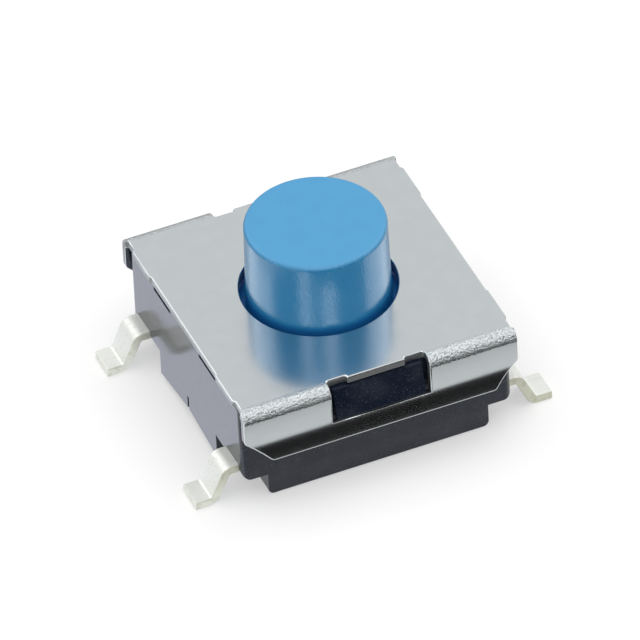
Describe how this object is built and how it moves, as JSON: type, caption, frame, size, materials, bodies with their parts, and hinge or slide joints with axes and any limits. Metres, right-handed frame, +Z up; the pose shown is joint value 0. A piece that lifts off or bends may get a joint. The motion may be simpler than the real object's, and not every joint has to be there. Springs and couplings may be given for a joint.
{
  "type": "tactile push button switch",
  "caption": "Surface-mount push button switch: black moulded base, folded steel cover, round blue button and gull-wing terminals.",
  "frame": {"origin": "on the button's axis, level with the undersides of the terminal feet", "axes": "+Z up along the button's axis, +X along a contact strip from terminal to terminal, the cover's folded flaps at -Y and +Y"},
  "size_m": [0.0078, 0.0064, 0.0041],
  "materials": {
    "base_plastic": "moulded dark slate, satin to gloss",
    "cover_steel": "bright plated sheet, smooth",
    "button_plastic": "moulded blue, satin top and glossy side",
    "dome_steel": "spring sheet, smooth",
    "plated_brass": "silver plated, brass bare on the cut edges"
  },
  "bodies": {
    "body": {"base": "base_plastic", "cover": "cover_steel", "inner_contact": "plated_brass", "outer_contact": "plated_brass", "snap_dome": "dome_steel"},
    "button": {"button": "button_plastic"}
  },
  "joints": [
    {"name": "press", "type": "slide", "parent": "body", "child": "button", "axis": [0, 0, -1], "range_m": [0, 0.00025], "stiffness_N_per_m": 6400, "deforming": ["snap_dome"]}
  ]
}
